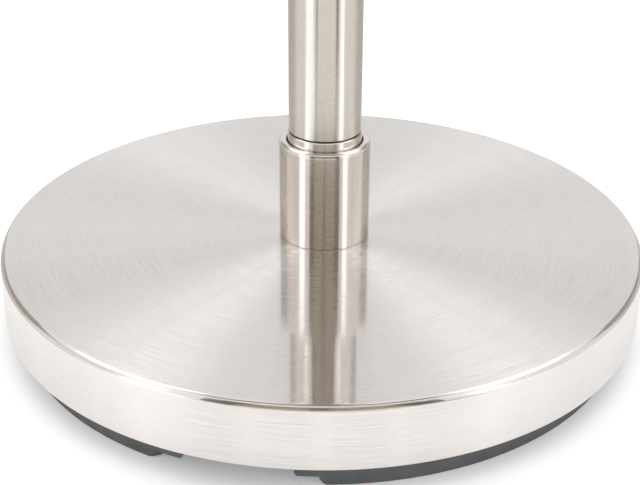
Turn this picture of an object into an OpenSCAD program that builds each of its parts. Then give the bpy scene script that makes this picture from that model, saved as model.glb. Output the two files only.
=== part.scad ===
// Free-standing pedestal stand for a trumpet: a weighted round base, a socket collar, a tubular post
// that screws down into the collar, and a tapered peg that enters the bell.
// Millimetres, +Z up, origin on the floor at the centre of the base.

/* [Base] */
// Outer diameter of the spun base cover
base_d = 225; // [180:1:290]
// Height of the cover's rim, from its lower edge to the flat top
rim_h = 22.3; // [18:0.1:36]
// Radius of the cover's top edge
edge_r = 2; // [1.4:0.1:5]
// Sheet thickness of the cover
shell_t = 1.2; // [0.8:0.1:1.6]
// Thickness of the cast ballast's web
ballast_web_t = 12; // [9:0.5:14]
// Gap between the ballast and the cover's wall
ballast_gap = 1; // [0.8:0.1:2]
// Number of radial ribs under the ballast
rib_count = 6; // [3:3:12]
// Thickness of the bottom plate
plate_t = 1.2; // [0.8:0.1:2]
// Height of the bottom plate above the cover's lower edge
plate_inset = 2.3; // [1.5:0.1:3]
// Number of screws that hold the bottom plate
plate_screw_count = 3; // [3:1:6]
// Radius of the circle of plate screws
plate_screw_pcd_r = 70; // [50:1:78]

/* [Foot ring] */
// How far the ring's shoulder is set in from the cover's rim
shoulder_inset = 4.9; // [3.5:0.1:9]
// How far the shoulder shows below the cover
shoulder_drop = 5.8; // [4:0.1:8]
// How far the tread stands below the cover
tread_drop = 9.7; // [8.5:0.1:14]
// How far the tread is set in from the shoulder
tread_inset = 0.9; // [0.4:0.1:2]
// Radial width of the shoulder
shoulder_w = 10.6; // [9:0.1:14]
// Radial width of the tread
tread_w = 8; // [5:0.1:8.8]
// Edge radius of the tread
tread_edge_r = 0.9; // [0.4:0.1:1.5]
// Direction of the ring's gap, from the front towards the right
gap_azimuth = -13.8; // [-180:0.1:180]
// Half the angle that the shoulder leaves open
shoulder_gap = 9.3; // [4:0.1:14]
// Half the angle that the tread leaves open
tread_gap = 13.3; // [10:0.1:18]
// Number of push-in stems that hold the ring
stem_count = 6; // [3:3:12]
// Diameter of a stem
stem_d = 4.8; // [3:0.1:6]

/* [Collar] */
// Wall of the collar
collar_wall = 2.7; // [2.4:0.1:6]
// Height of the collar above the base
collar_h = 36; // [28:0.1:60]
// Thickness of the collar's floor
collar_floor_t = 3; // [2:0.1:5]
// Outer radius of the collar's lip
lip_r = 1.6; // [0.5:0.1:1.8]
// Inner radius of the collar's mouth
mouth_r = 0.7; // [0.3:0.1:1]

/* [Threaded fittings] */
// Diameter of the base stud
stud_d = 10; // [8:1:12]
// Width across the flats of the base nuts
nut_af = 16; // [14:1:16]
// Height of a base nut
nut_h = 8; // [5:0.1:9]
// Length of the stud held by the post, which is its travel when unscrewed plus one turn
stud_grip = 16.5; // [8:0.1:20]
// Ballast left above the stud's lower washer
stud_seat_t = 5.8; // [4:0.1:8]
// Diameter of the peg stud
peg_stud_d = 8; // [6:1:8]
// Length of the peg stud held by the peg, which is its travel when unscrewed plus one turn
peg_stud_grip = 13.75; // [8:0.05:18]

/* [Post] */
// Outer diameter of the post
post_d = 25; // [22:0.1:34]
// Wall of the post
post_t = 1.5; // [1:0.1:2.5]
// Length of the post tube
post_len = 140; // [110:1:400]
// How far the bush stands out beyond the post at the seam
bush_step = 0.35; // [0:0.05:1]
// How much of the bush shows above the collar
bush_show = 3.3; // [2:0.1:8]
// Length of the bush's spigot inside the post
spigot_len = 24; // [15:1:40]
// Height of the plug's flange on top of the post
plug_flange_t = 4; // [3:0.1:8]
// Thickness of the nylon rings that the post and the peg turn on
ring_t = 1.4; // [1:0.1:3]

/* [Bell peg] */
// Diameter of the peg at its foot
peg_foot_d = 52; // [48:1:70]
// Height of the peg
peg_h = 168; // [130:1:220]
// Radius of the peg's round nose
nose_r = 9.5; // [8:0.1:11]
// Wall of the peg
peg_wall = 2.6; // [2.4:0.1:4]
// Radius of the bead round the peg's foot
bead_r = 2.2; // [1.5:0.1:3]
// Height of the ribs inside the peg
peg_rib_h = 46; // [30:1:60]
// Number of felt strips on the peg
felt_count = 4; // [3:1:5]
// Width of a felt strip
felt_w = 10; // [6:0.1:12]
// Thickness of the felt
felt_t = 1.8; // [1.5:0.1:2.5]
// Depth of the groove that holds the felt
groove_depth = 1.1; // [0.8:0.1:1.3]
// Start of the grooves, along the slope from the peg's foot
groove_start = 22; // [15:1:40]
// End of the grooves, short of the nose
groove_end_gap = 22; // [14:1:60]

/* [Hidden] */
$fn = 96;
eps = 0.01;
hex_half_angle = 30;

// Clearances
run_fit = 0.05;
face_gap = 0.1;
hole_play = 0.2;
clear_gap = 0.35;

// Finishes
nickel = [0.80, 0.77, 0.73];
zinc = [0.66, 0.67, 0.69];
iron = [0.25, 0.25, 0.26];
black_steel = [0.13, 0.13, 0.14];
grey_rubber = [0.29, 0.29, 0.30];
nylon = [0.88, 0.87, 0.82];
brass = [0.72, 0.58, 0.30];
black_plastic = [0.07, 0.07, 0.075];
felt = [0.10, 0.10, 0.11];

// Levels, from the floor up
base_r = base_d / 2;
rim_z = tread_drop;
top_z = rim_z + rim_h;
under_top_z = top_z - shell_t;
plate_z = rim_z + plate_inset;
plate_top_z = plate_z + plate_t;
web_z = under_top_z - ballast_web_t;
floor_top_z = top_z + collar_floor_t;
lip_z = top_z + collar_h;
seam_z = lip_z + bush_show;
post_top_z = seam_z + post_len;
plug_top_z = post_top_z + plug_flange_t;
peg_z = plug_top_z + ring_t + 2 * face_gap;
peg_top_z = peg_z + peg_h;

// Base
ballast_r = base_r - shell_t - ballast_gap;
plate_r = ballast_r - hole_play;
least_bend_r = 0.2;
rib_w = 7;
rib_bite = 1;
rib_clear = 1;
stud_hole_r = stud_d / 2 + hole_play;
screw_d = 4;
screw_len = 9;
screw_hole_spare = 1;
screw_head_d = 8;
screw_head_h = 2.6;
screw_boss_r = 6.5;
screw_first_angle = 30;

// Foot ring
shoulder_r = base_r - shoulder_inset;
tread_r = shoulder_r - tread_inset;
tread_z = tread_drop - shoulder_drop;
stem_edge = 0.9;
stem_pcd_r = shoulder_r - shoulder_w + stem_edge + stem_d / 2;
stem_first_angle = 180 / stem_count;
stem_root = 1;
stem_head_t = 1.2;
stem_head_step = 0.5;
stem_head_r = stem_d / 2 + stem_head_step;
tread_root = 1;
round_spare = 0.1;
tread_round_r = tread_z + round_spare;
shoulder_round_r = 1.5;
shoulder_round_centre = shoulder_round_r - round_spare;
rim_rib_r = stem_pcd_r + stem_head_r + clear_gap;
gap_axis = gap_azimuth - 90;
tread_round_angle = asin(tread_round_r / (tread_r - tread_w / 2));
shoulder_round_angle = asin(shoulder_round_centre / (shoulder_r - shoulder_w / 2));
shoulder_full_gap = shoulder_gap + shoulder_round_angle;
tread_full_gap = tread_gap + tread_round_angle;

// Stud stack
stud_seat_z = under_top_z - stud_seat_t;
washer_t = 2;
washer_d = 2 * stud_d;
lock_washer_t = 2.2;
lock_washer_spread = 1.1;
lock_washer_d = lock_washer_spread * nut_af;
lock_washer_split = 9;
spanner_gap = 4;
nut_well_r = washer_d / 2 + spanner_gap;
plate_hole_step = 1;
plate_hole_r = nut_well_r + plate_hole_step;
boss_wall = 8;
boss_r = nut_well_r + boss_wall;
lower_nut_z = stud_seat_z - washer_t - nut_h;
stud_end = 1.2;
stud_bevel = 0.8;
clamp_nut_z = floor_top_z + lock_washer_t;
nut_corner_r = nut_af / 2 / cos(hex_half_angle);

// Post bush
ring_seat_z = floor_top_z + face_gap;
bush_z = ring_seat_z + ring_t + face_gap;
ring_lip_h = 2;
ring_bore_r = nut_corner_r + clear_gap;
ring_lip_t = 0.75;
ring_lip_r = ring_bore_r + ring_lip_t;
bush_well_r = ring_lip_r + run_fit;
nut_headroom = 2.8;
bush_well_z = clamp_nut_z + nut_h + nut_headroom;
stud_top_z = bush_well_z + stud_grip;
bore_relief = 3;
bush_bore_top_z = stud_top_z + bore_relief;
bush_core_r = stud_d / 2 + run_fit;
bush_r = post_d / 2 + bush_step;
collar_bore_r = bush_r + clear_gap;
collar_r = collar_bore_r + collar_wall;
tube_bore_r = post_d / 2 - post_t;
edge_break = 0.3;

// Seam groove: the bush is necked under the tube's end, which rests on the neck
seam_groove_depth = 0.5;
seam_groove_h = 0.4;
seam_neck_r = post_d / 2 - seam_groove_depth;
seam_groove_z = seam_z - seam_groove_h;

// Collar
collar_foot_bevel = 0.4;

// Peg fixing
plug_spigot_len = 18;
plug_edge_r = 1.2;
peg_stud_depth = 12;
peg_stud_bevel = 0.7;
peg_ring_inset = 1;
peg_ring_r = post_d / 2 - peg_ring_inset;
peg_ring_bore_r = peg_stud_d / 2 + clear_gap;
peg_ring_lip_t = 0.85;
peg_ring_lip_r = peg_ring_bore_r + peg_ring_lip_t;
peg_well_r = peg_ring_lip_r + run_fit;
lip_headroom = 0.6;
peg_well_depth = ring_lip_h + lip_headroom;
insert_wall = 1.4;
insert_r = peg_well_r + insert_wall;
insert_relief = 2;
insert_len = peg_well_depth + peg_stud_grip + insert_relief;
peg_boss_wall = 2.8;
peg_boss_r = insert_r + peg_boss_wall;
peg_boss_cap_t = 3;
peg_boss_h = insert_len + peg_boss_cap_t;
peg_stud_top_z = peg_z + peg_well_depth + peg_stud_grip;

// Peg taper: the line from the foot that is tangent to the nose
peg_foot_r = peg_foot_d / 2;
nose_z = peg_top_z - nose_r;
peg_rise = nose_z - peg_z;
peg_taper = atan(peg_foot_r / peg_rise) - asin(nose_r / norm([peg_foot_r, peg_rise]));
peg_slope_len = (peg_rise + nose_r * sin(peg_taper)) / cos(peg_taper);
groove_end = peg_slope_len - groove_end_gap;
felt_side_gap = 0.1;
felt_bed_gap = 0.1;
peg_rib_count = 4;
peg_rib_t = 2.2;
peg_rib_rise = 1;
slot_reach = 8;

// Ring of copies round the vertical axis
module around(count, first = 0) {
    for (i = [0 : count - 1])
        rotate([0, 0, first + i * 360 / count]) children();
}

// Upright tube between two levels
module pipe(r_out, r_in, z0, z1) {
    translate([0, 0, z0]) difference() {
        cylinder(r = r_out, h = z1 - z0);
        translate([0, 0, -eps]) cylinder(r = r_in, h = z1 - z0 + 2 * eps);
    }
}

// Half section of a round pan: flat top at z1 with a rounded edge, open below z0
module pan_section(r, z0, z1, corner_r) {
    translate([0, z0]) square([r - corner_r, z1 - z0]);
    translate([0, z0]) square([r, z1 - z0 - corner_r]);
    translate([r - corner_r, z1 - corner_r]) circle(r = corner_r);
}

// Solid rod with both end edges broken
module rod(r, z0, z1, bevel) {
    rotate_extrude() polygon([
        [0, z0], [r - bevel, z0], [r, z0 + bevel],
        [r, z1 - bevel], [r - bevel, z1], [0, z1]
    ]);
}

// Hexagon nut, both faces bevelled
module hex_nut(af, h, bore_r, z) {
    corner_r = af / 2 / cos(hex_half_angle);
    bevel_h = (corner_r - af / 2) * tan(hex_half_angle);
    translate([0, 0, z]) difference() {
        intersection() {
            cylinder(r = corner_r, h = h, $fn = 6);
            rotate_extrude() polygon([
                [0, 0], [af / 2, 0], [corner_r, bevel_h],
                [corner_r, h - bevel_h], [af / 2, h], [0, h]
            ]);
        }
        translate([0, 0, -eps]) cylinder(r = bore_r, h = h + 2 * eps);
    }
}

// Spun cover of the base: flat top, rounded edge, straight rim with a rounded lower edge
module base_shell() {
    wall_end_r = shell_t / 2;
    inner_edge_r = max(edge_r - shell_t, least_bend_r);
    color(nickel) rotate_extrude() difference() {
        union() {
            pan_section(base_r, rim_z + wall_end_r, top_z, edge_r);
            translate([base_r - wall_end_r, rim_z + wall_end_r]) circle(r = wall_end_r);
        }
        translate([0, -eps])
            pan_section(base_r - shell_t, rim_z + wall_end_r, under_top_z + eps, inner_edge_r);
        translate([0, rim_z]) square([stud_hole_r, rim_h + eps]);
    }
}

// Cast ballast: a web under the cover's top with a rim rib, radial ribs, screw bosses and a nut well
module ballast_disc() {
    color(iron) difference() {
        union() {
            translate([0, 0, web_z]) cylinder(r = ballast_r, h = ballast_web_t);
            pipe(ballast_r, rim_rib_r, plate_top_z, web_z + eps);
            translate([0, 0, plate_top_z]) cylinder(r = boss_r, h = web_z - plate_top_z + eps);
            around(rib_count)
                translate([boss_r - rib_bite, -rib_w / 2, plate_top_z + rib_clear])
                    cube([rim_rib_r - boss_r + 2 * rib_bite, rib_w, web_z - plate_top_z]);
            around(plate_screw_count, screw_first_angle) translate([plate_screw_pcd_r, 0, plate_top_z])
                cylinder(r = screw_boss_r, h = web_z - plate_top_z + eps);
        }
        translate([0, 0, plate_top_z - eps])
            cylinder(r = nut_well_r, h = stud_seat_z - plate_top_z + eps);
        translate([0, 0, plate_top_z]) cylinder(r = stud_hole_r, h = top_z);
        around(plate_screw_count, screw_first_angle)
            translate([plate_screw_pcd_r, 0, plate_top_z - eps])
                cylinder(r = screw_d / 2 + run_fit, h = screw_len + screw_hole_spare);
    }
}

// Sheet plate that closes the base, with an access hole to the stud nut
module bottom_plate() {
    color(black_steel) difference() {
        pipe(plate_r, plate_hole_r, plate_z, plate_top_z);
        around(plate_screw_count, screw_first_angle) translate([plate_screw_pcd_r, 0, plate_z - eps])
            cylinder(r = screw_d / 2 + hole_play, h = plate_t + 2 * eps);
        around(stem_count, gap_axis + stem_first_angle) translate([stem_pcd_r, 0, plate_z - eps])
            cylinder(r = stem_d / 2 + run_fit, h = plate_t + 2 * eps);
    }
}

// Pan-head screws that hold the bottom plate to the ballast
module plate_screws() {
    dome_r = (pow(screw_head_d / 2, 2) + pow(screw_head_h, 2)) / (2 * screw_head_h);
    color(zinc) around(plate_screw_count, screw_first_angle) translate([plate_screw_pcd_r, 0, plate_z]) {
        cylinder(d = screw_d, h = plate_t + screw_len);
        intersection() {
            translate([0, 0, dome_r - screw_head_h]) sphere(r = dome_r);
            translate([0, 0, -screw_head_h]) cylinder(d = screw_head_d, h = screw_head_h);
        }
    }
}

// Section of the tread, with rounded lower edges
module tread_section() {
    inner_r = tread_r - tread_w;
    translate([inner_r + tread_edge_r, 0]) square([tread_w - 2 * tread_edge_r, tread_z + tread_root]);
    translate([inner_r, tread_edge_r]) square([tread_w, tread_z + tread_root - tread_edge_r]);
    for (x = [inner_r + tread_edge_r, tread_r - tread_edge_r])
        translate([x, tread_edge_r]) circle(r = tread_edge_r);
}

// Wedge that opens a ring by half_gap on both sides of its gap, between two levels
module gap_wedge(half_gap, z0, z1) {
    rotate([0, 0, gap_axis - half_gap]) rotate_extrude(angle = 2 * half_gap)
        translate([0, z0]) square([base_r, z1 - z0]);
}

// The same wedge below a level, with both its sides hollowed, so that what it opens has round ends
module round_gap(half_gap, z0, round_z, round_r) {
    difference() {
        gap_wedge(half_gap, z0, round_z);
        for (side = [-1, 1])
            rotate([0, 0, gap_axis + side * half_gap]) translate([0, 0, round_z])
                rotate([0, 90, 0]) cylinder(r = round_r, h = 2 * base_r);
    }
}

// Moulded foot ring: a shoulder with a lower tread, both with rounded ends, and push-in stems
module foot_ring() {
    color(grey_rubber) {
        difference() {
            pipe(shoulder_r, shoulder_r - shoulder_w, tread_z, plate_z);
            gap_wedge(shoulder_gap, tread_z - eps, plate_z + eps);
            round_gap(
                shoulder_full_gap, tread_z - eps,
                tread_z + shoulder_round_centre, shoulder_round_r
            );
        }
        difference() {
            rotate_extrude() tread_section();
            gap_wedge(tread_gap, -eps, tread_z + tread_root + eps);
            round_gap(tread_full_gap, -eps, tread_z, tread_round_r);
        }
        around(stem_count, gap_axis + stem_first_angle)
            translate([stem_pcd_r, 0, plate_z - stem_root]) {
                cylinder(d = stem_d, h = stem_root + plate_t + eps);
                translate([0, 0, stem_root + plate_t]) cylinder(r = stem_head_r, h = stem_head_t);
            }
    }
}

// Turned collar: a cup with a rounded lip, clamped to the base by its floor
module collar() {
    color(nickel) rotate_extrude() difference() {
        union() {
            pan_section(collar_r, top_z + collar_foot_bevel, lip_z, lip_r);
            polygon([
                [0, top_z], [collar_r - collar_foot_bevel, top_z],
                [collar_r, top_z + collar_foot_bevel], [0, top_z + collar_foot_bevel]
            ]);
        }
        translate([0, floor_top_z]) square([collar_bore_r, collar_h]);
        translate([0, top_z - eps]) square([stud_hole_r, collar_floor_t + 2 * eps]);
        difference() {
            translate([collar_bore_r - eps, lip_z - mouth_r]) square([mouth_r + eps, mouth_r + eps]);
            translate([collar_bore_r + mouth_r, lip_z - mouth_r]) circle(r = mouth_r);
        }
    }
}

// Threaded stud that ties the base together and carries the post
module base_stud() {
    color(zinc) rod(stud_d / 2, lower_nut_z - stud_end, stud_top_z, stud_bevel);
}

// Nut inside the collar
module clamp_nut() {
    color(zinc) hex_nut(nut_af, nut_h, stud_d / 2 + run_fit, clamp_nut_z);
}

// Split spring washer under the nut in the collar
module lock_washer() {
    bore_r = stud_d / 2 + hole_play;
    color(zinc) translate([0, 0, floor_top_z]) rotate_extrude(angle = 360 - lock_washer_split)
        translate([bore_r, 0]) square([lock_washer_d / 2 - bore_r, lock_washer_t]);
}

// Nut in the well of the ballast
module stud_nut() {
    color(zinc) hex_nut(nut_af, nut_h, stud_d / 2 + run_fit, lower_nut_z);
}

// Plain washer between the ballast and its nut
module stud_washer() {
    color(zinc) pipe(washer_d / 2, stud_d / 2 + hole_play, stud_seat_z - washer_t, stud_seat_z);
}

// Nylon ring with a lip that clips into the thing that turns on it
module turning_ring(r_out, lip_r, bore_r, z) {
    pipe(r_out, bore_r, z, z + ring_t);
    pipe(lip_r, bore_r, z + ring_t - eps, z + ring_t + ring_lip_h);
}

// Ring in the collar that the post screws down onto
module thrust_ring() {
    color(nylon) turning_ring(bush_r, ring_lip_r, ring_bore_r, ring_seat_z);
}

// Turned bush in the post's lower end: a skirt in the collar, a bored core, a neck and a spigot in the tube
module post_bush() {
    color(nickel) rotate_extrude() difference() {
        union() {
            polygon([
                [0, bush_z], [bush_r, bush_z], [bush_r, seam_groove_z - edge_break],
                [bush_r - edge_break, seam_groove_z], [seam_neck_r, seam_groove_z],
                [seam_neck_r, seam_z], [0, seam_z]
            ]);
            translate([0, seam_z - eps]) square([tube_bore_r - run_fit, spigot_len]);
        }
        translate([0, bush_z - eps]) square([bush_well_r, bush_well_z - bush_z + eps]);
        translate([0, bush_z]) square([bush_core_r, bush_bore_top_z - bush_z]);
    }
}

// Post tube, with its end edges broken
module post_tube() {
    r = post_d / 2;
    color(nickel) rotate_extrude() polygon([
        [tube_bore_r, seam_z], [r - edge_break, seam_z], [r, seam_z + edge_break],
        [r, post_top_z - edge_break], [r - edge_break, post_top_z], [tube_bore_r, post_top_z]
    ]);
}

// Plug in the post's upper end: a spigot, a flange that covers the tube and a hole for the peg stud
module post_plug() {
    color(nickel) rotate_extrude() difference() {
        union() {
            pan_section(post_d / 2, post_top_z, plug_top_z, plug_edge_r);
            translate([0, post_top_z - plug_spigot_len])
                square([tube_bore_r - run_fit, plug_spigot_len + eps]);
        }
        translate([0, plug_top_z - peg_stud_depth])
            square([peg_stud_d / 2 + run_fit, peg_stud_depth + eps]);
    }
}

// Threaded stud fixed in the plug
module peg_stud() {
    color(zinc) rod(peg_stud_d / 2, plug_top_z - peg_stud_depth, peg_stud_top_z, peg_stud_bevel);
}

// Ring on the plug that the peg screws down onto
module peg_ring() {
    color(nylon) turning_ring(peg_ring_r, peg_ring_lip_r, peg_ring_bore_r, plug_top_z + face_gap);
}

// Brass bush moulded into the peg
module peg_insert() {
    color(brass) difference() {
        pipe(insert_r, peg_stud_d / 2 + run_fit, peg_z, peg_z + insert_len);
        translate([0, 0, peg_z - eps]) cylinder(r = peg_well_r, h = peg_well_depth + eps);
    }
}

// Outer form of the peg, grown by an offset: a cone with a tangent round nose
module peg_form(grow) {
    round_r = nose_r + grow;
    tangent_z = nose_z + round_r * sin(peg_taper);
    translate([0, 0, peg_z])
        cylinder(
            r1 = peg_foot_r + grow / cos(peg_taper),
            r2 = round_r * cos(peg_taper),
            h = tangent_z - peg_z
        );
    translate([0, 0, nose_z]) sphere(r = round_r);
}

// Slot outline with round ends, standing on the slope of the peg
module slope_slots(width, from, to) {
    around(felt_count, 180 / felt_count) translate([peg_foot_r, 0, peg_z]) rotate([0, -peg_taper, 0]) {
        translate([-slot_reach, -width / 2, from + width / 2])
            cube([2 * slot_reach, width, to - from - width]);
        for (s = [from + width / 2, to - width / 2])
            translate([-slot_reach, 0, s]) rotate([0, 90, 0]) cylinder(d = width, h = 2 * slot_reach);
    }
}

// Moulded peg: a hollow taper with a beaded foot, an inner boss on ribs, and grooves for the felt
module bell_peg() {
    color(black_plastic) difference() {
        union() {
            difference() {
                union() {
                    peg_form(0);
                    rotate_extrude()
                        translate([peg_foot_r - bead_r / 2, peg_z + bead_r]) circle(r = bead_r);
                }
                translate([0, 0, -eps]) peg_form(-peg_wall);
            }
            translate([0, 0, peg_z]) cylinder(r = peg_boss_r, h = peg_boss_h);
            intersection() {
                around(peg_rib_count) translate([0, -peg_rib_t / 2, peg_z + peg_rib_rise])
                    cube([peg_foot_r, peg_rib_t, peg_rib_h]);
                peg_form(-peg_wall / 2);
            }
        }
        translate([0, 0, peg_z - eps]) cylinder(r = insert_r + run_fit, h = insert_len + eps);
        difference() {
            slope_slots(felt_w, groove_start, groove_end);
            peg_form(-groove_depth);
        }
    }
}

// Felt strips bedded in the grooves, standing a little proud
module felt_strips() {
    color(felt) difference() {
        intersection() {
            slope_slots(
                felt_w - 2 * felt_side_gap,
                groove_start + felt_side_gap,
                groove_end - felt_side_gap
            );
            peg_form(felt_t - groove_depth);
        }
        peg_form(felt_bed_gap - groove_depth);
    }
}

base_shell();
ballast_disc();
bottom_plate();
plate_screws();
foot_ring();
collar();
base_stud();
clamp_nut();
lock_washer();
stud_nut();
stud_washer();
thrust_ring();
post_bush();
post_tube();
post_plug();
peg_stud();
peg_ring();
peg_insert();
bell_peg();
felt_strips();
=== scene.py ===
import math

import bpy
from mathutils import Euler, Matrix, Vector


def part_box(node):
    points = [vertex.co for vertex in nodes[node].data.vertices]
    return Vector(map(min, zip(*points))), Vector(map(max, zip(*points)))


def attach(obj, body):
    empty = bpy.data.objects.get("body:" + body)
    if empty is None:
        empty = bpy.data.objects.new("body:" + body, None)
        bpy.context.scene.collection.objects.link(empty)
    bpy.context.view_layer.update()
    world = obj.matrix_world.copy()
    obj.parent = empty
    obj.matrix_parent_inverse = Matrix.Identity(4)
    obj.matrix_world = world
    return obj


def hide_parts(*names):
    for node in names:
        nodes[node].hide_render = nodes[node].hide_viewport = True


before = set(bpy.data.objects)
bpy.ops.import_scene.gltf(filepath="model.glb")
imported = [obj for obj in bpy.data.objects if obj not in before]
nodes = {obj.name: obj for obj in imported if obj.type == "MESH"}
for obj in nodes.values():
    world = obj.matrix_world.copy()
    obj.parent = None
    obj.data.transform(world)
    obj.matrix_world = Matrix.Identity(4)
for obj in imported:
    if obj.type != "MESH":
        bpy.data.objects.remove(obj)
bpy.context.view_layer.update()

scene = bpy.context.scene


# Ballast
# The weight in the base: a ribbed disc of grey iron, cast in sand and left raw. Its nut well shows from
# below, through the hole in the bottom plate.
def add_node(tree, kind, inputs=None, **settings):
    """Adds a node, sets its options, and gives its inputs values or links."""
    made = tree.nodes.new(kind)
    for name, value in settings.items():
        setattr(made, name, value)
    for key, value in (inputs or {}).items():
        if isinstance(value, bpy.types.NodeSocket):
            tree.links.new(value, made.inputs[key])
        else:
            made.inputs[key].default_value = value
    return made


def calc(tree, operation, *values):
    """Adds a math node and gives its result."""
    return add_node(tree, "ShaderNodeMath", dict(enumerate(values)), operation=operation).outputs[0]


def remap(tree, value, low, high, new_low, new_high, steps="SMOOTHSTEP"):
    """Carries a value from one range to another, held at both ends."""
    numbers = {"Value": value, "From Min": low, "From Max": high, "To Min": new_low, "To Max": new_high}
    return add_node(tree, "ShaderNodeMapRange", numbers, interpolation_type=steps).outputs["Result"]


def blend_colours(tree, share, first, second):
    """Mixes two colours by a share that changes over the surface."""
    mix = add_node(tree, "ShaderNodeMix", data_type="RGBA")
    for socket, value in zip((mix.inputs[0], mix.inputs[6], mix.inputs[7]), (share, first, second)):
        if isinstance(value, bpy.types.NodeSocket):
            tree.links.new(value, socket)
        else:
            socket.default_value = value
    return mix.outputs[2]


def new_group(name, inputs, outputs):
    """Starts a shader node group, and gives its tree, what comes in and what goes out."""
    tree = bpy.data.node_groups.new(name, "ShaderNodeTree")
    for label in inputs:
        kind = "NodeSocketVector" if label == "Position" else "NodeSocketFloat"
        tree.interface.new_socket(label, in_out="INPUT", socket_type=kind)
    for label in outputs:
        tree.interface.new_socket(label, in_out="OUTPUT", socket_type="NodeSocketFloat")
    return tree, tree.nodes.new("NodeGroupInput").outputs, tree.nodes.new("NodeGroupOutput").inputs


def place_group(tree, group, inputs):
    """Places a node group with its own values in a material, and gives its outputs."""
    placed = add_node(tree, "ShaderNodeGroup", node_tree=group)
    for label, value in inputs.items():
        if isinstance(value, bpy.types.NodeSocket):
            tree.links.new(value, placed.inputs[label])
        else:
            placed.inputs[label].default_value = value
    return placed.outputs


def surface_grain():
    """The fine grain of a mould, of sand or of a coating, a coarser grain, and slow clouds."""
    tree, come, go = new_group("surface_grain", ["Position", "Scale"], ["Grain", "Pit", "Cloud"])
    for label, share, detail in (("Grain", 1.0, 3.0), ("Pit", 0.3, 1.0), ("Cloud", 0.04, 2.0)):
        scale = calc(tree, "MULTIPLY", come["Scale"], share)
        inputs = {"Vector": come["Position"], "Scale": scale, "Detail": detail}
        tree.links.new(add_node(tree, "ShaderNodeTexNoise", inputs).outputs[0], go[label])
    return tree


surface_grain_group = surface_grain()


def new_material(name):
    """Starts a material, and gives it with its tree, its shader and the piece's own coordinates."""
    material = bpy.data.materials.new(name)
    material.use_nodes = True
    tree = material.node_tree
    position = tree.nodes.new("ShaderNodeTexCoord").outputs["Object"]
    return material, tree, tree.nodes["Principled BSDF"], position


gloss_spread = 0.06


def grained(name, dark, pale, roughness, grain_scale, grain_depth, pits=0.0):
    """A cast, moulded or coated surface: two close colours, an uneven gloss and a raised grain."""
    material, tree, shader, position = new_material(name)
    grain = place_group(tree, surface_grain_group, {"Position": position, "Scale": grain_scale})
    both = calc(tree, "ADD", grain["Grain"], grain["Cloud"])
    share = remap(tree, both, 0.7, 1.3, 0.0, 1.0, "LINEAR")
    tree.links.new(blend_colours(tree, share, dark, pale), shader.inputs["Base Color"])
    smoothest = roughness - gloss_spread
    roughest = roughness + gloss_spread
    gloss = remap(tree, grain["Cloud"], 0.3, 0.7, smoothest, roughest, "LINEAR")
    tree.links.new(gloss, shader.inputs["Roughness"])
    height = calc(tree, "ADD", grain["Grain"], calc(tree, "MULTIPLY", grain["Pit"], pits))
    bump = add_node(tree, "ShaderNodeBump", {"Height": height, "Strength": 0.5, "Distance": grain_depth})
    tree.links.new(bump.outputs[0], shader.inputs["Normal"])
    return material


def finish_node(name, material):
    """Gives a CAD node its material."""
    nodes[name].material_slots[0].material = material


iron_dark = (0.055, 0.053, 0.052, 1.0)
iron_pale = (0.135, 0.130, 0.128, 1.0)
iron_roughness = 0.62
sand_grain = 1500.0
sand_depth = 0.0003
sand_pits = 2.5
cast_iron = grained("cast_iron", iron_dark, iron_pale, iron_roughness, sand_grain, sand_depth, sand_pits)
cast_iron.node_tree.nodes["Principled BSDF"].inputs["Metallic"].default_value = 0.4
finish_node("ballast_disc", cast_iron)


# Base cover
# The visible shell of the weighted foot: sheet steel spun over a former, brushed in circles on a lathe and
# plated with satin nickel. It drops over the ballast, and the stud through its centre clamps it.
cover_low, cover_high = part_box("base_shell")
cover_radius = cover_high.x
cover_edge = 0.002
cover_sheet = 0.0012
cover_hole_radius = 0.0052
cover_hem = 0.45 * cover_sheet


def start_edit(piece, mode):
    """Leaves a piece with nothing selected, ready for its points, edges or faces to be picked."""
    bpy.context.view_layer.objects.active = piece
    bpy.ops.object.mode_set(mode="EDIT")
    bpy.ops.mesh.select_mode(type=mode)
    bpy.ops.mesh.select_all(action="DESELECT")
    bpy.ops.object.mode_set(mode="OBJECT")


def pick_faces(piece, wanted):
    """Enters edit mode with the faces selected that a test of their place and normal wants."""
    start_edit(piece, "FACE")
    for face in piece.data.polygons:
        face.select = wanted(face.center, face.normal)
    bpy.ops.object.mode_set(mode="EDIT")


def pick_edges(piece, wanted):
    """Enters edit mode with the edges selected whose two ends a test wants."""
    start_edit(piece, "EDGE")
    points = piece.data.vertices
    for edge in piece.data.edges:
        edge.select = wanted(points[edge.vertices[0]].co, points[edge.vertices[1]].co)
    bpy.ops.object.mode_set(mode="EDIT")


def apply_modifier(piece, kind, **settings):
    """Adds a modifier to a piece and applies it."""
    bpy.ops.object.mode_set(mode="OBJECT")
    modifier = piece.modifiers.new(kind.lower(), kind)
    for name, value in settings.items():
        setattr(modifier, name, value)
    bpy.context.view_layer.objects.active = piece
    bpy.ops.object.modifier_apply(modifier=modifier.name)


def new_piece(name):
    """Names the primitive that was just added, and moves its place into its mesh."""
    piece = bpy.context.object
    piece.name = name
    bpy.ops.object.transform_apply(location=True, rotation=True, scale=True)
    return piece


def smooth(piece, degrees):
    """Smooths a piece's shading, apart from edges sharper than an angle."""
    bpy.ops.object.mode_set(mode="OBJECT")
    bpy.ops.object.select_all(action="DESELECT")
    piece.select_set(True)
    bpy.context.view_layer.objects.active = piece
    bpy.ops.object.shade_smooth_by_angle(angle=math.radians(degrees))
    apply_modifier(piece, "WEIGHTED_NORMAL", weight=100, keep_sharp=True)


def assemble(piece, body, node, material):
    """Puts a finished piece on its body, in the place of its CAD node, with its material."""
    piece.data.materials.clear()
    piece.data.materials.append(material)
    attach(piece, body)
    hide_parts(node)


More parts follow.
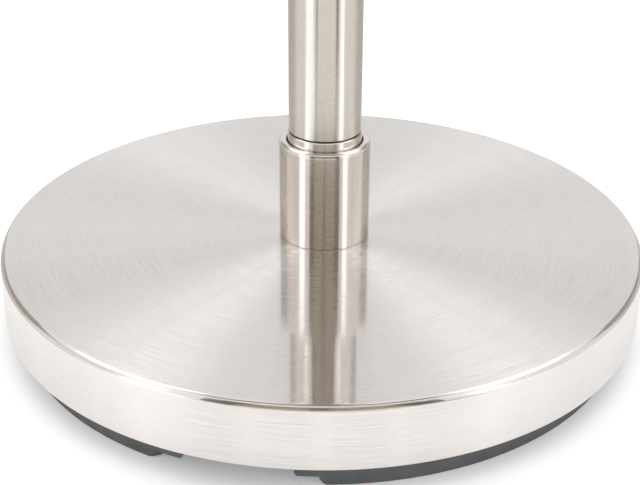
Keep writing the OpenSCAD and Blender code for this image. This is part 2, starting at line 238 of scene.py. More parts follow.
bpy.ops.object.select_all(action="DESELECT")
bpy.ops.mesh.primitive_cylinder_add(
    vertices=288, radius=cover_radius, depth=cover_high.z - cover_low.z,
    location=(0, 0, (cover_high.z + cover_low.z) / 2))
cover = new_piece("cover")
pick_faces(cover, lambda place, normal: normal.z < -0.9)
bpy.ops.mesh.delete(type="FACE")
pick_faces(cover, lambda place, normal: normal.z > 0.9)
bpy.ops.mesh.region_to_loop()
bpy.ops.mesh.bevel(offset=cover_edge, segments=14, affect="EDGES")
pick_faces(cover, lambda place, normal: normal.z > 0.9999)
bpy.ops.mesh.inset(thickness=cover_radius - cover_edge - cover_hole_radius)
bpy.ops.mesh.delete(type="FACE")
apply_modifier(cover, "SOLIDIFY", thickness=cover_sheet, offset=-1.0, use_even_offset=True)
pick_edges(cover, lambda a, b: max(a.z, b.z) < cover_low.z + 0.00001)
bpy.ops.mesh.bevel(offset=cover_hem, segments=5, affect="EDGES")
smooth(cover, 40)


def axis_distance(tree, apart):
    """The distance from the upright axis, from the three parts of a position."""
    squares = calc(tree, "ADD", calc(tree, "POWER", apart[0], 2), calc(tree, "POWER", apart[1], 2))
    return calc(tree, "SQRT", squares)


def brushed_rings():
    """Fine lines left round the axis by a brush on a turning piece, broad rings, and scratches."""
    tree, come, go = new_group("brushed_rings", ["Position", "Lines", "Arc"], ["Line", "Ring", "Scratch"])
    apart = add_node(tree, "ShaderNodeSeparateXYZ", {0: come["Position"]}).outputs
    radius = axis_distance(tree, apart)
    across = calc(tree, "SUBTRACT", radius, apart[2])
    turn_x = calc(tree, "DIVIDE", apart[0], radius)
    turn_y = calc(tree, "DIVIDE", apart[1], radius)
    kinds = (("Line", 1.0, 1.0, 4.0), ("Ring", 0.06, 0.3, 2.0), ("Scratch", 28.0, 2.0, 0.0))
    for label, share, arc_share, detail in kinds:
        lines = calc(tree, "MULTIPLY", across, calc(tree, "MULTIPLY", come["Lines"], share))
        arc = calc(tree, "MULTIPLY", come["Arc"], arc_share)
        way = {0: lines, 1: calc(tree, "MULTIPLY", turn_x, arc), 2: calc(tree, "MULTIPLY", turn_y, arc)}
        vector = add_node(tree, "ShaderNodeCombineXYZ", way).outputs[0]
        noise = add_node(tree, "ShaderNodeTexNoise", {"Vector": vector, "Scale": 1.0, "Detail": detail})
        tree.links.new(noise.outputs[0], go[label])
    return tree


def buffed_edge():
    """Where a rounded outer edge lies, between a radius and a level, which a buff leaves smoother."""
    tree, come, go = new_group("buffed_edge", ["Position", "Radius", "Level", "Edge"], ["Mask"])
    apart = add_node(tree, "ShaderNodeSeparateXYZ", {0: come["Position"]}).outputs
    masks = []
    for value, end in ((axis_distance(tree, apart), come["Radius"]), (apart[2], come["Level"])):
        start = calc(tree, "SUBTRACT", end, come["Edge"])
        masks.append(remap(tree, value, start, calc(tree, "ADD", start, 0.0002), 0.0, 1.0))
    tree.links.new(calc(tree, "MULTIPLY", *masks), go["Mask"])
    return tree


brushed_rings_group = brushed_rings()
buffed_edge_group = buffed_edge()
brush_lines = 2600.0
brush_arc = 2.5
brush_depth = 0.00002
buffed_gloss = 0.8


def brushed_metal(name, dark, pale, clear, scratched, radius, level, edge):
    """Metal brushed round its axis: clear metal between fine scratches, with a buffed outer edge."""
    material, tree, shader, position = new_material(name)
    brush = {"Position": position, "Lines": brush_lines, "Arc": brush_arc}
    rings = place_group(tree, brushed_rings_group, brush)
    both = calc(tree, "ADD", rings["Line"], rings["Ring"])
    share = remap(tree, both, 0.6, 1.4, 0.0, 1.0, "LINEAR")
    tree.links.new(blend_colours(tree, share, dark, pale), shader.inputs["Base Color"])
    edges = {"Position": position, "Radius": radius, "Level": level, "Edge": edge}
    mask = place_group(tree, buffed_edge_group, edges)["Mask"]
    brushed = remap(tree, rings["Scratch"], 0.45, 0.65, clear, scratched)
    gloss = calc(tree, "MULTIPLY", brushed, remap(tree, mask, 0.0, 1.0, 1.0, buffed_gloss))
    tree.links.new(gloss, shader.inputs["Roughness"])
    relief = {"Height": rings["Line"], "Strength": 0.03, "Distance": brush_depth}
    tree.links.new(add_node(tree, "ShaderNodeBump", relief).outputs[0], shader.inputs["Normal"])
    tangent = add_node(tree, "ShaderNodeTangent", direction_type="RADIAL", axis="Z")
    tree.links.new(tangent.outputs[0], shader.inputs["Tangent"])
    shader.inputs["Metallic"].default_value = 1.0
    shader.inputs["Anisotropic"].default_value = 0.95
    shader.inputs["Anisotropic Rotation"].default_value = 0.25
    return material


nickel_dark = (0.785, 0.750, 0.725, 1.0)
nickel_pale = (0.815, 0.780, 0.760, 1.0)
cover_clear = 0.08
cover_scratched = 0.42
cover_nickel = brushed_metal(
    "nickel_cover", nickel_dark, nickel_pale, cover_clear, cover_scratched,
    cover_radius, cover_high.z, cover_edge)
assemble(cover, "base", "base_shell", cover_nickel)


# Base stud, nuts and washers
# A zinc-plated steel stud with a rolled thread, through the ballast, the cover and the collar. A nut and a
# plain washer hold it in the ballast's well, and a nut on a spring washer clamps the collar.
def combine(piece, operation, tool):
    """Joins a tool to a piece, or cuts the piece with it, and removes the tool."""
    bpy.ops.object.mode_set(mode="OBJECT")
    apply_modifier(piece, "BOOLEAN", operation=operation, object=tool, solver="EXACT")
    bpy.data.objects.remove(tool)


def slice_off(piece, level, below):
    """Cuts a piece at a level, removes what is below or above it, and closes the cut."""
    bpy.context.view_layer.objects.active = piece
    bpy.ops.object.mode_set(mode="EDIT")
    bpy.ops.mesh.select_all(action="SELECT")
    bpy.ops.mesh.bisect(plane_co=(0, 0, level), plane_no=(0, 0, 1), use_fill=True,
                        clear_inner=below, clear_outer=not below)
    bpy.ops.object.mode_set(mode="OBJECT")


merge_distance = 0.000002


def face_outwards(piece):
    """Merges the doubles of a closed piece and turns its faces outwards."""
    bpy.context.view_layer.objects.active = piece
    bpy.ops.object.mode_set(mode="EDIT")
    bpy.ops.mesh.select_all(action="SELECT")
    bpy.ops.mesh.remove_doubles(threshold=merge_distance)
    bpy.ops.mesh.normals_make_consistent(inside=False)
    bpy.ops.object.mode_set(mode="OBJECT")


thread_depth = 0.6134
crest_start = 0.44
crest_end = 0.56
thread_steps = 36
blank_clearance = 0.00001


def threaded_rod(name, radius, low, high, pitch, bevel):
    """An upright rod with a rolled thread and bevelled ends. Its flanks are in shares of the pitch."""
    root = radius - thread_depth * pitch
    start = low - 2 * pitch
    bpy.ops.object.select_all(action="DESELECT")
    bpy.ops.mesh.primitive_circle_add(vertices=4, radius=radius, fill_type="NOTHING")
    rod = new_piece(name)
    flank = ((root, 0.0), (radius, crest_start), (radius, crest_end), (root, 1.0))
    for point, (reach, share) in zip(rod.data.vertices, flank):
        point.co = (reach, 0.0, start + share * pitch)
    pick_edges(rod, lambda a, b: abs(a.z - b.z) > 0.9 * pitch)
    bpy.ops.mesh.delete(type="EDGE")
    turns = math.ceil((high - low) / pitch) + 4
    apply_modifier(rod, "SCREW", screw_offset=pitch, iterations=turns, steps=thread_steps,
                   render_steps=thread_steps, use_merge_vertices=True, merge_threshold=merge_distance)
    slice_off(rod, low - pitch, True)
    slice_off(rod, high + pitch, False)
    face_outwards(rod)
    bpy.ops.object.select_all(action="DESELECT")
    bpy.ops.mesh.primitive_cylinder_add(
        vertices=72, radius=radius + blank_clearance, depth=high - low, location=(0, 0, (low + high) / 2))
    blank = new_piece("blank")
    pick_faces(blank, lambda place, normal: abs(normal.z) > 0.9)
    bpy.ops.mesh.region_to_loop()
    bpy.ops.mesh.bevel(offset=bevel, segments=1, affect="EDGES")
    combine(rod, "INTERSECT", blank)
    return rod


zinc_dark = (0.56, 0.57, 0.60, 1.0)
zinc_pale = (0.68, 0.69, 0.71, 1.0)
zinc_smoothest = 0.24
zinc_roughest = 0.42
zinc_dents = 2200.0
zinc_dent_depth = 0.00004


def zinc_plate(name):
    """Bright zinc on steel: cool, a little cloudy, with the small dents of the plating drum."""
    material, tree, shader, position = new_material(name)
    grain = place_group(tree, surface_grain_group, {"Position": position, "Scale": zinc_dents})
    share = remap(tree, grain["Cloud"], 0.35, 0.65, 0.0, 1.0, "LINEAR")
    tree.links.new(blend_colours(tree, share, zinc_dark, zinc_pale), shader.inputs["Base Color"])
    gloss = remap(tree, grain["Pit"], 0.3, 0.7, zinc_smoothest, zinc_roughest, "LINEAR")
    tree.links.new(gloss, shader.inputs["Roughness"])
    relief = {"Height": grain["Pit"], "Strength": 0.25, "Distance": zinc_dent_depth}
    tree.links.new(add_node(tree, "ShaderNodeBump", relief).outputs[0], shader.inputs["Normal"])
    shader.inputs["Metallic"].default_value = 1.0
    return material


zinc = zinc_plate("zinc_plate")
stud_low, stud_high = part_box("base_stud")
stud_pitch = 0.0015
stud_bevel = 0.0008
stud = threaded_rod("threaded_stud", stud_high.x, stud_low.z, stud_high.z, stud_pitch, stud_bevel)
smooth(stud, 25)
assemble(stud, "base", "base_stud", zinc)
for name in ("stud_nut", "stud_washer", "clamp_nut", "lock_washer"):
    finish_node(name, zinc)


# Bottom plate
# A sheet steel disc that closes the base, punched for its screws and for the foot ring's stems, and black
# with powder coat, which cures to a fine orange peel.
coat_dark = (0.018, 0.018, 0.019, 1.0)
coat_pale = (0.032, 0.032, 0.034, 1.0)
coat_roughness = 0.48
coat_grain = 1100.0
coat_depth = 0.00012
powder_coat = grained(
    "black_powder_coat", coat_dark, coat_pale, coat_roughness, coat_grain, coat_depth)
finish_node("bottom_plate", powder_coat)


# Plate screws
# Three zinc-plated pan-head screws with a cross recess and a rolled thread, which hold the bottom plate to
# the ballast's bosses.
screw_low, screw_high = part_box("plate_screws")
plate_low, plate_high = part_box("bottom_plate")
screw_circle = 0.070
screw_first_angle = 30
screw_radius = 0.002
screw_pitch = 0.0007
screw_bevel = 0.0005
shank_overlap = 0.0005
screw_head_radius = 0.004
screw_head_height = plate_low.z - screw_low.z
recess_length = 0.0042
recess_width = 0.0009
recess_depth = 0.0013
recess_taper = 0.6

dome_radius = (screw_head_radius ** 2 + screw_head_height ** 2) / (2 * screw_head_height)
bpy.ops.object.select_all(action="DESELECT")
bpy.ops.mesh.primitive_uv_sphere_add(
    segments=64, ring_count=40, radius=dome_radius, location=(0, 0, screw_low.z + dome_radius))
screw = new_piece("plate_screw")
slice_off(screw, plate_low.z, False)
face_outwards(screw)
for turn in (0, 90):
    bpy.ops.object.select_all(action="DESELECT")
    bpy.ops.mesh.primitive_cube_add(
        size=1.0, location=(0, 0, screw_low.z), rotation=(0, 0, math.radians(turn)))
    bpy.context.object.scale = (recess_length, recess_width, 2 * recess_depth)
    blade = new_piece("recess_blade")
    pick_faces(blade, lambda place, normal: normal.z > 0.9)
    bpy.ops.transform.resize(value=(recess_taper, recess_taper, 1.0), center_override=(0, 0, 0))
    combine(screw, "DIFFERENCE", blade)
shank = threaded_rod(
    "shank", screw_radius, plate_low.z - shank_overlap, screw_high.z, screw_pitch, screw_bevel)
combine(screw, "UNION", shank)
smooth(screw, 35)
screw.data.transform(Matrix.Translation((screw_circle, 0, 0)))
screw.data.transform(Matrix.Rotation(math.radians(screw_first_angle), 4, "Z"))


def copies_round(piece, count):
    """The piece and its copies, each with its own mesh, evenly round the upright axis."""
    pieces = [piece]
    for number in range(1, count):
        copy = piece.copy()
        copy.data = piece.data.copy()
        copy.data.transform(Matrix.Rotation(2 * math.pi * number / count, 4, "Z"))
        scene.collection.objects.link(copy)
        pieces.append(copy)
    for number, one in enumerate(pieces, 1):
        one.name = f"{piece.name.split('.')[0]}.{number}"
    return pieces


for piece in copies_round(screw, 3):
    assemble(piece, "base", "plate_screws", zinc)


# Foot ring
# A stepped ring moulded in dark grey rubber, matt from a spark-eroded mould, and pushed into the bottom
# plate by six stems. It is open over a short arc left of the front, where its tread and its shoulder end
# rounded, the tread's left end in plan too.
shoulder_radius = 0.1076
shoulder_width = 0.0106
shoulder_edge = 0.0004
shoulder_round = 0.0015
shoulder_gap = math.radians(9.3)
tread_radius = 0.1067
tread_width = 0.008
tread_height = 0.0039
tread_edge = 0.0009
tread_gap = math.radians(13.3)
tread_parts = 4
spin_steps = 1140
gap_direction = math.radians(-13.8 - 90)
stem_circle = 0.1003
stem_radius = 0.0024
stem_head_radius = 0.0029
stem_head_height = 0.0012
stem_flare = 0.0001
stem_cap = 0.0004
stem_cap_share = 0.7
stem_overlap = 0.001
stem_first_angle = math.radians(30)
tread_middle = tread_radius - tread_width / 2
shoulder_inside = shoulder_radius - shoulder_width

bpy.ops.object.select_all(action="DESELECT")
bpy.ops.mesh.primitive_plane_add(
    size=1.0, rotation=(math.radians(90), 0, 0),
    location=((shoulder_radius + shoulder_inside) / 2, 0, (tread_height + plate_low.z) / 2))
bpy.context.object.scale = (shoulder_width, plate_low.z - tread_height, 1.0)
foot = new_piece("rubber_foot_ring")
bpy.ops.object.mode_set(mode="EDIT")
for part in range(tread_parts + 1):
    bpy.ops.mesh.select_all(action="SELECT")
    cut = tread_radius - tread_width * part / tread_parts
    bpy.ops.mesh.bisect(plane_co=(cut, 0, 0), plane_no=(1, 0, 0))
pick_edges(foot, lambda a, b: max(a.z, b.z) < tread_height + 0.0001
           and abs((a.x + b.x) / 2 - tread_middle) < tread_width / 2)
bpy.ops.mesh.extrude_region_move(TRANSFORM_OT_translate={"value": (0, 0, -tread_height)})


def pick_points(piece, wanted):
    """Enters edit mode with the points selected whose place a test wants."""
    start_edit(piece, "VERT")
    for point in piece.data.vertices:
        point.select = wanted(point.co)
    bpy.ops.object.mode_set(mode="EDIT")


pick_points(foot, lambda place: place.z < 0.0001 and abs(place.x - tread_middle) > 0.49 * tread_width)
bpy.ops.mesh.bevel(offset=tread_edge, segments=6, affect="VERTICES")
pick_points(foot, lambda place: abs(place.z - tread_height) < 0.0001
            and abs(place.x - tread_middle) > tread_width / 2 + 0.0005)
bpy.ops.mesh.bevel(offset=shoulder_edge, segments=4, affect="VERTICES")
bpy.ops.object.mode_set(mode="OBJECT")
foot.data.transform(Matrix.Rotation(gap_direction + shoulder_gap, 4, "Z"))
pick_faces(foot, lambda place, normal: True)
bpy.ops.mesh.spin(
    steps=spin_steps, angle=2 * math.pi - 2 * shoulder_gap, center=(0, 0, 0), axis=(0, 0, -1))
bpy.ops.object.mode_set(mode="OBJECT")


def round_end(distance, reach):
    """How far a rounded end rises at a distance from its tip."""
    short = max(0.0, reach - max(0.0, distance))
    return reach - math.sqrt(reach ** 2 - short ** 2)


for point in foot.data.vertices:
    turn = math.atan2(point.co.y, point.co.x) - gap_direction
    turn = (turn + math.pi) % (2 * math.pi) - math.pi
    angle = abs(turn)
    if angle > tread_gap:
        from_tip = (angle - tread_gap) * tread_middle
        if turn < 0:
            from_side = tread_width / 2 - abs(math.hypot(point.co.x, point.co.y) - tread_middle)
            from_tip -= round_end(from_side, tread_width / 2)
        lowest = round_end(from_tip, tread_height)
    else:
        lowest = tread_height + round_end((angle - shoulder_gap) * tread_middle, shoulder_round)
    point.co.z = max(point.co.z, lowest)
face_outwards(foot)

stem_height = plate_high.z - plate_low.z + stem_overlap
bpy.ops.object.select_all(action="DESELECT")
bpy.ops.mesh.primitive_cylinder_add(
    vertices=32, radius=stem_radius, depth=stem_height,
    location=(stem_circle, 0, plate_high.z - stem_height / 2))
stem = new_piece("stem")
pick_faces(stem, lambda place, normal: normal.z > 0.9)
bpy.ops.mesh.extrude_region_move(TRANSFORM_OT_translate={"value": (0, 0, stem_flare)})
spread = stem_head_radius / stem_radius
bpy.ops.transform.resize(value=(spread, spread, 1.0), center_override=(stem_circle, 0, 0))
stem_side = stem_head_height - stem_flare - stem_cap
bpy.ops.mesh.extrude_region_move(TRANSFORM_OT_translate={"value": (0, 0, stem_side)})
bpy.ops.mesh.extrude_region_move(TRANSFORM_OT_translate={"value": (0, 0, stem_cap)})
bpy.ops.transform.resize(value=(stem_cap_share, stem_cap_share, 1.0), center_override=(stem_circle, 0, 0))
bpy.ops.object.mode_set(mode="OBJECT")
stem.data.transform(Matrix.Rotation(gap_direction + stem_first_angle, 4, "Z"))
bpy.ops.object.select_all(action="DESELECT")
for piece in copies_round(stem, 6):
    piece.select_set(True)
bpy.context.view_layer.objects.active = stem
bpy.ops.object.join()
combine(foot, "UNION", stem)
smooth(foot, 40)
rubber_dark = (0.078, 0.079, 0.082, 1.0)
rubber_pale = (0.128, 0.129, 0.134, 1.0)
rubber_roughness = 0.66
rubber_grain = 2600.0
rubber_depth = 0.00006
grey_rubber = grained(
    "grey_rubber", rubber_dark, rubber_pale, rubber_roughness, rubber_grain, rubber_depth)
assemble(foot, "base", "foot_ring", grey_rubber)


# Collar
# A cup turned from steel bar, with a rounded lip, brushed round its axis and plated like the cover. The
# clamp nut inside it holds it on the base.
turned_dark = (0.77, 0.73, 0.69, 1.0)
turned_pale = (0.81, 0.77, 0.73, 1.0)
turned_clear = 0.12
turned_scratched = 0.30


def turned_nickel(name, edge):
    """Gives a turned and plated CAD node its finish, buffed at the rounded edge on top of it."""
    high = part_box(name)[1]
    material = brushed_metal(
        "nickel_" + name, turned_dark, turned_pale, turned_clear, turned_scratched, high.x, high.z, edge)
    finish_node(name, material)
    return material


turned_nickel("collar", 0.0)


# Thrust ring
# A moulded ring of natural nylon in the collar. It turns on the bush's foot, and the post screws down onto
# it.
nylon_dark = (0.66, 0.63, 0.55, 1.0)
nylon_pale = (0.78, 0.76, 0.69, 1.0)
nylon_roughness = 0.42
nylon_grain = 1800.0
nylon_depth = 0.00003
nylon = grained("natural_nylon", nylon_dark, nylon_pale, nylon_roughness, nylon_grain, nylon_depth)
finish_node("thrust_ring", nylon)


# Bush, post and plug
# Drawn steel tube with a turned bush pressed into its lower end and a turned plug into its upper end, all
# brushed round the axis and plated. The bush is bored for the stud, the plug carries the peg's stud, and
# the groove at the seam of bush and tube is painted dark and dull as painted shade.
seam_groove = 0.00041
seam_fade = 0.00002
# The colour and dullness of the painted shade in the seam groove.
seam_shade_dark = (0.20, 0.17, 0.14, 1.0)
seam_shade_roughness = 0.6
tube_edge = 0.0003
plug_edge = 0.0012


def paint_seam_shade(material, level):
    """Darkens and dulls a metal above a level, as painted shade in a groove."""
    tree = material.node_tree
    shader = tree.nodes["Principled BSDF"]
    place = tree.nodes.new("ShaderNodeTexCoord").outputs["Object"]
    height = add_node(tree, "ShaderNodeSeparateXYZ", {0: place}).outputs[2]
    share = remap(tree, height, level, level + seam_fade, 0.0, 1.0)
    colour = shader.inputs["Base Color"].links[0].from_socket
    gloss = shader.inputs["Roughness"].links[0].from_socket
    tree.links.new(blend_colours(tree, share, colour, seam_shade_dark), shader.inputs["Base Color"])
    dull = calc(tree, "MULTIPLY", share, seam_shade_roughness)
    tree.links.new(calc(tree, "MAXIMUM", gloss, dull), shader.inputs["Roughness"])


bush_nickel = turned_nickel("post_bush", tube_edge)
# Painted shade: the bush is darker and duller in the groove at its seam with the tube.
paint_seam_shade(bush_nickel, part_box("post_tube")[0].z - seam_groove)
turned_nickel("post_tube", tube_edge)
turned_nickel("post_plug", plug_edge)


# Peg stud
# A steel stud with a rolled thread, plated with bright zinc like the base's own and fixed in the plug. The
# peg screws onto it.
peg_stud_low, peg_stud_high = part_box("peg_stud")
peg_stud_pitch = 0.00125
peg_stud_bevel = 0.0007
peg_stud = threaded_rod(
    "threaded_peg_stud", peg_stud_high.x, peg_stud_low.z, peg_stud_high.z, peg_stud_pitch, peg_stud_bevel)
smooth(peg_stud, 25)
assemble(peg_stud, "post", "peg_stud", zinc)


# Peg ring and insert
# A ring of natural nylon that the peg screws down onto, and the bush with its thread, which is turned from
# brass and moulded into the peg.
finish_node("peg_ring", nylon)
insert_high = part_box("peg_insert")[1]
brass_dark = (0.62, 0.43, 0.17, 1.0)
brass_pale = (0.74, 0.55, 0.26, 1.0)
brass_clear = 0.18
brass_scratched = 0.36
brass_edge = 0.0003
turned_brass = brushed_metal(
    "turned_brass", brass_dark, brass_pale, brass_clear, brass_scratched,
    insert_high.x, insert_high.z, brass_edge)
finish_node("peg_insert", turned_brass)


# Bell peg
# A hollow tapered peg with a round nose and a beaded foot, moulded in black plastic with a fine grain. Four
# grooves in it take the felt.
plastic_dark = (0.016, 0.016, 0.017, 1.0)
plastic_pale = (0.028, 0.028, 0.030, 1.0)
plastic_roughness = 0.42
plastic_grain = 2400.0
plastic_depth = 0.00005
black_plastic = grained(
    "black_plastic", plastic_dark, plastic_pale, plastic_roughness, plastic_grain, plastic_depth)
finish_node("bell_peg", black_plastic)


# Felt strips
# Four strips of pressed wool felt with round ends and worn edges, glued into the peg's grooves, where they
# stand a little proud. They keep the bell off the plastic.
peg_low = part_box("bell_peg")[0]
peg_foot_radius = 0.026
peg_taper = math.radians(5.925)
strip_width = 0.0098
strip_start = 0.0221
strip_length = 0.11614
strip_under = 0.001
strip_proud = 0.0007
strip_softness = 0.0006
round_share = 0.08
strip_first_angle = math.radians(45)
strip_half = strip_width / 2
lump_size = 0.0009
lump_height = 0.00022


def strip_place(across, along):
    """Where a point of the grid lies on the flat strip, which is rounded at both ends."""
    from_end = min(along, 1 - along)
    turn = math.radians(5 + 85 * min(1.0, from_end / round_share))
    straight = max(0.0, from_end - round_share) / (1 - 2 * round_share) * (strip_length - strip_width)
    reach = strip_half * (1 - math.cos(turn)) + straight
    if along > 0.5:
        reach = strip_length - reach
    return strip_half * math.sin(turn) * math.sin(math.pi * across), reach


bpy.ops.object.select_all(action="DESELECT")
bpy.ops.mesh.primitive_grid_add(x_subdivisions=32, y_subdivisions=280, size=1.0)
strip = new_piece("felt_strip")
for point in strip.data.vertices:
    width, reach = strip_place(point.co.x, point.co.y + 0.5)
    nearest = min(max(reach, strip_half), strip_length - strip_half)
    edge_distance = strip_half - math.hypot(width, reach - nearest)
    point.co = (width, reach, strip_proud - round_end(edge_distance, strip_softness))
pick_faces(strip, lambda place, normal: True)
thickness = strip_under + strip_proud
bpy.ops.mesh.extrude_region_move(TRANSFORM_OT_translate={"value": (0, 0, -thickness)})
face_outwards(strip)
top = strip.vertex_groups.new(name="top")
for point in strip.data.vertices:
    if point.co.z > 0:
        top.add([point.index], 1.0, "REPLACE")
    point.co.z = max(point.co.z, -strip_under)
lumps = bpy.data.textures.new("felt_lumps", "CLOUDS")
lumps.noise_scale = lump_size
apply_modifier(strip, "DISPLACE", texture=lumps, strength=lump_height, mid_level=0.75, vertex_group="top")
outward = Vector((math.cos(peg_taper), 0, math.sin(peg_taper)))
upward = Vector((-math.sin(peg_taper), 0, math.cos(peg_taper)))
for point in strip.data.vertices:
    width, reach, height = point.co
    slope = strip_start + reach
    radius = peg_foot_radius - slope * math.sin(peg_taper)
    height -= (radius - math.sqrt(radius ** 2 - width ** 2)) * math.cos(peg_taper)
    point.co = Vector((peg_foot_radius, width, peg_low.z)) + outward * height + upward * slope
face_outwards(strip)
smooth(strip, 60)
strip.data.transform(Matrix.Rotation(strip_first_angle, 4, "Z"))


def felt_fibres():
    """Curled wool fibres of two sizes, and slow differences in how densely they lie."""
    tree, come, go = new_group("felt_fibres", ["Position", "Scale"], ["Fibre", "Tuft", "Cloud"])
    for label, share, curl in (("Fibre", 1.0, 2.5), ("Tuft", 0.35, 1.2), ("Cloud", 0.12, 0.0)):
        scale = calc(tree, "MULTIPLY", come["Scale"], share)
        inputs = {"Vector": come["Position"], "Scale": scale, "Detail": 3.0, "Distortion": curl}
        tree.links.new(add_node(tree, "ShaderNodeTexNoise", inputs).outputs[0], go[label])
    return tree


wool_dark = (0.016, 0.016, 0.018, 1.0)
wool_pale = (0.060, 0.060, 0.064, 1.0)
fibre_scale = 1700.0
fibre_depth = 0.0002


def wool_felt(name):
    """Pressed wool: dark with paler fibres, quite without gloss, and with a soft sheen at a low angle."""
    material, tree, shader, position = new_material(name)
    wool = place_group(tree, felt_fibres(), {"Position": position, "Scale": fibre_scale})
    worn = calc(tree, "MULTIPLY", wool["Cloud"], 0.4)
    share = remap(tree, calc(tree, "ADD", wool["Fibre"], worn), 0.5, 0.95, 0.0, 1.0)
    tree.links.new(blend_colours(tree, share, wool_dark, wool_pale), shader.inputs["Base Color"])
    gloss = remap(tree, wool["Tuft"], 0.3, 0.7, 0.88, 1.0, "LINEAR")
    tree.links.new(gloss, shader.inputs["Roughness"])
    height = calc(tree, "ADD", wool["Fibre"], wool["Tuft"])
    relief = {"Height": height, "Strength": 0.8, "Distance": fibre_depth}
    tree.links.new(add_node(tree, "ShaderNodeBump", relief).outputs[0], shader.inputs["Normal"])
    shader.inputs["Specular IOR Level"].default_value = 0.15
    shader.inputs["Sheen Weight"].default_value = 0.25
    return material


felt = wool_felt("wool_felt")
for piece in copies_round(strip, 4):
    assemble(piece, "peg", "felt_strips", felt)


# Studio
# A white floor that keeps the object's shadow, in a white room, with strip lights beside the camera and two
# lamps above and behind. Boards all round show only in mirror images and throw no shadow, and there the
# floor further out glows in paler bands of painted light and darker bands of painted shade.
def stage_plane(name, size, place, turn, colour, shown):
    """A flat board of the studio."""
    bpy.ops.object.select_all(action="DESELECT")
    bpy.ops.mesh.primitive_plane_add(size=1.0)
    board = bpy.context.object
    board.name = name
    board.scale = (size[0], size[1], 1.0)
    board.location = place
    board.rotation_euler = turn
    material = bpy.data.materials.new(name)
    material.use_nodes = True
    shader = material.node_tree.nodes["Principled BSDF"]
    shader.inputs["Base Color"].default_value = colour
    shader.inputs["Roughness"].default_value = 0.9
    shader.inputs["Specular IOR Level"].default_value = 0.0
    board.data.materials.append(material)
    board.visible_camera = shown
    return board


floor_white = (0.95, 0.95, 0.95, 1.0)
black = (0.0, 0.0, 0.0, 1.0)
floor = stage_plane("floor", (8.0, 8.0), (0, 0, 0), (0, 0, 0), floor_white, True)
floor_tree = floor.data.materials[0].node_tree
floor_shader = floor_tree.nodes["Principled BSDF"]
rays = floor_tree.nodes.new("ShaderNodeLightPath").outputs
mirrored = calc(floor_tree, "MAXIMUM", rays["Is Glossy Ray"], rays["Is Transmission Ray"])
floor_place = floor_tree.nodes.new("ShaderNodeNewGeometry").outputs["Position"]
floor_apart = add_node(floor_tree, "ShaderNodeSeparateXYZ", {0: floor_place}).outputs
from_axis = axis_distance(floor_tree, floor_apart)
paint_start = 0.17
paint_full = 0.20
bands_near = 0.22
bands_far = 0.39
dark_near = 0.23
dark_far = 0.36
outer = remap(floor_tree, from_axis, paint_start, paint_full, 0.0, 1.0)
narrowing = remap(floor_tree, from_axis, bands_near, bands_far, 0.70, 1.1, "LINEAR")
fading = remap(floor_tree, from_axis, dark_near, dark_far, 0.1, 1.25, "LINEAR")
frontways = calc(floor_tree, "MULTIPLY", floor_apart[1], -1.0)
to_right = calc(floor_tree, "DEGREES", calc(floor_tree, "ARCTAN2", floor_apart[0], frontways))
angle = calc(floor_tree, "ABSOLUTE", to_right)


def floor_band(middle, inside, outside, level):
    """A band of the floor at an angle right of the front, with soft sides, narrower further out."""
    from_middle = calc(floor_tree, "ABSOLUTE", calc(floor_tree, "SUBTRACT", to_right, middle))
    from_middle = calc(floor_tree, "MULTIPLY", from_middle, narrowing)
    return remap(floor_tree, from_middle, inside, outside, level, 0.0)


# Seen only in mirror images, the floor further out glows in paler bands of painted light and darker bands
# of painted shade.
painted = remap(floor_tree, angle, 88.0, 120.0, 0.80, 0.52)
front_band = remap(floor_tree, angle, 30.0, 36.0, 0.09, 0.0)
painted_light_left = floor_band(-47.0, 9.0, 14.0, 0.55)
painted_light_right = floor_band(51.5, 4.0, 7.0, 0.62)
painted_shade_left = floor_band(-26.0, 1.0, 4.5, -0.45)
painted_shade_right = floor_band(35.0, 2.0, 6.0, -0.55)
painted_light_band = calc(floor_tree, "ADD", painted_light_left, painted_light_right)
painted_shade_band = calc(floor_tree, "MULTIPLY", calc(floor_tree, "ADD", painted_shade_left, painted_shade_right), fading)
for band in (front_band, painted_shade_band, painted_light_band):
    painted = calc(floor_tree, "ADD", painted, band)
outer_mirrored = calc(floor_tree, "MULTIPLY", mirrored, outer)
floor_colour = blend_colours(floor_tree, outer_mirrored, floor_white, black)
floor_tree.links.new(floor_colour, floor_shader.inputs["Base Color"])
inner_level = 0.11
camera_level = 0.2
inner_mirrored = calc(floor_tree, "SUBTRACT", mirrored, outer_mirrored)
inner_glow = calc(floor_tree, "MULTIPLY", inner_mirrored, inner_level)
outer_glow = calc(floor_tree, "MULTIPLY", outer_mirrored, painted)
camera_glow = calc(floor_tree, "MULTIPLY", rays["Is Camera Ray"], camera_level)
glow = calc(floor_tree, "ADD", camera_glow, calc(floor_tree, "ADD", inner_glow, outer_glow))
cool_white = (1.0, 1.0, 1.0, 1.0)
warm_white = (1.0, 0.965, 0.92, 1.0)
beside_painted_light = remap(floor_tree, painted_light_band, 0.0, 0.45, 1.0, 0.0)
warmth = calc(floor_tree, "MULTIPLY", outer_mirrored, beside_painted_light)
glow_colour = blend_colours(floor_tree, warmth, cool_white, warm_white)
floor_tree.links.new(glow_colour, floor_shader.inputs["Emission Color"])
floor_tree.links.new(glow, floor_shader.inputs["Emission Strength"])

world = bpy.data.worlds.new("white_room")
scene.world = world
world.use_nodes = True
world.node_tree.nodes["Background"].inputs["Color"].default_value = cool_white


def aim(place, target):
    """The turn that points a lamp, a board or the camera from one place to another."""
    return (Vector(target) - Vector(place)).to_track_quat("-Z", "Y").to_euler()


def on_circle(azimuth, elevation, distance):
    """A place round the object: azimuth from the front to the right, in degrees."""
    turn = math.radians(azimuth)
    rise = math.radians(elevation)
    level = math.cos(rise)
    return Vector((math.sin(turn) * level, -math.cos(turn) * level, math.sin(rise))) * distance


lit_point = (0, 0, 0.05)


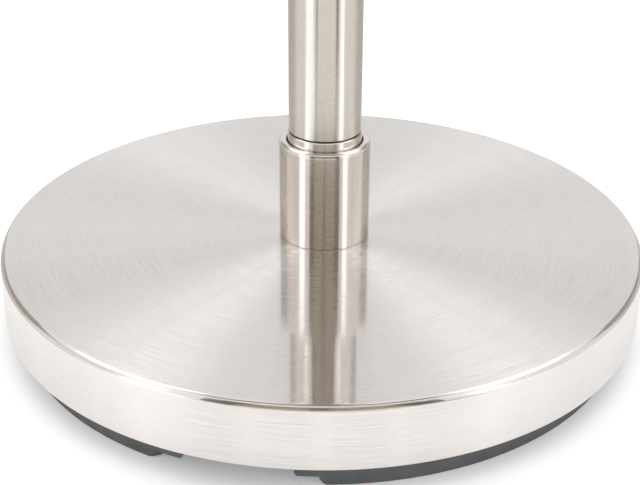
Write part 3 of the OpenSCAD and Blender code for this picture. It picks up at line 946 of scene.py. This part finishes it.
def softbox(name, azimuth, elevation, distance, width, height, power):
    """A flat lamp that faces the object from a direction."""
    lamp = bpy.data.lights.new(name, "AREA")
    lamp.shape = "RECTANGLE"
    lamp.size = width
    lamp.size_y = height
    lamp.energy = power
    box = bpy.data.objects.new(name, lamp)
    scene.collection.objects.link(box)
    box.location = on_circle(azimuth, elevation, distance)
    box.rotation_euler = aim(box.location, lit_point)
    box.visible_camera = False


softbox("strip_light", -57.0, 16, 1.0, 0.22, 0.66, 0.85)
softbox("strip_light", 52.5, 16, 1.0, 0.18, 0.66, 0.70)
for side in (-1, 1):
    softbox("top_light", side * 122, 56.5, 1.2, 0.70, 0.37, 1.8)


def board_round(name, azimuth, elevation, distance, size, colour):
    """A board that faces the object from a direction. Only metal mirrors it, and it throws no shadow."""
    place = on_circle(azimuth, elevation, distance)
    board = stage_plane(name, size, place, aim(place, lit_point), black, False)
    board.visible_diffuse = False
    board.visible_shadow = False
    shader = board.data.materials[0].node_tree.nodes["Principled BSDF"]
    shader.inputs["Emission Color"].default_value = colour
    shader.inputs["Emission Strength"].default_value = 1.0


card_brown = (0.36, 0.30, 0.22, 1.0)
stand_brown = (0.24, 0.195, 0.145, 1.0)
flag_brown = (0.12, 0.095, 0.072, 1.0)
shade_grey = (0.36, 0.33, 0.29, 1.0)
wall_grey = (0.68, 0.65, 0.61, 1.0)
left_card = (0.78, 0.74, 0.69, 1.0)
right_card = (0.89, 0.85, 0.80, 1.0)
wall_white = (0.88, 0.88, 0.88, 1.0)
board_round("camera_card", 0, 31, 1.2, (1.5, 1.15), card_brown)
board_round("camera_stand", -1, 31, 1.15, (0.12, 1.15), stand_brown)
board_round("ceiling_strip", 180, 89.9, 1.3, (1.0, 0.4), flag_brown)
board_round("back_wall", 180, 18, 1.7, (2.0, 1.8), wall_white)
for side, card_colour in ((-1, left_card), (1, right_card)):
    board_round("flag", side * 31.5, 22, 1.1, (0.20, 1.3), flag_brown)
    board_round("side_card", side * 90, 27, 1.5, (0.95, 0.65), card_colour)
    board_round("side_wall", side * 129, 3, 1.5, (1.05, 0.75), wall_grey)
    board_round("side_shade", side * 129, 28, 1.5, (1.05, 0.60), shade_grey)


# Camera
# It stands in front, above the base, and sees the cover and the lower part of the post. The photo is an
# off-centre crop, so the lens is shifted sideways by as many pixels.
photo_width = 640
focal_pixels = 1397.9
top_centre = Vector((0, 0, cover_high.z))
camera_distance = 0.499
camera_elevation = 26.65
pitch_down = 0.0083
turn_right = 0.0293
crop_pixels = 45
roll = 0.008
lens = bpy.data.cameras.new("camera")
camera = bpy.data.objects.new("camera", lens)
scene.collection.objects.link(camera)
scene.camera = camera
lens.sensor_fit = "HORIZONTAL"
lens.sensor_width = 36.0
lens.lens = focal_pixels / photo_width * lens.sensor_width
lens.shift_x = -crop_pixels / photo_width
camera.location = top_centre + on_circle(0, camera_elevation, camera_distance)
facing = (top_centre - camera.location).to_track_quat("-Z", "Y")
facing = facing @ Euler((-pitch_down, 0, 0)).to_quaternion()
facing = facing @ Euler((0, -turn_right, 0)).to_quaternion() @ Euler((0, 0, roll)).to_quaternion()
camera.rotation_euler = facing.to_euler()

scene.view_settings.view_transform = "Standard"
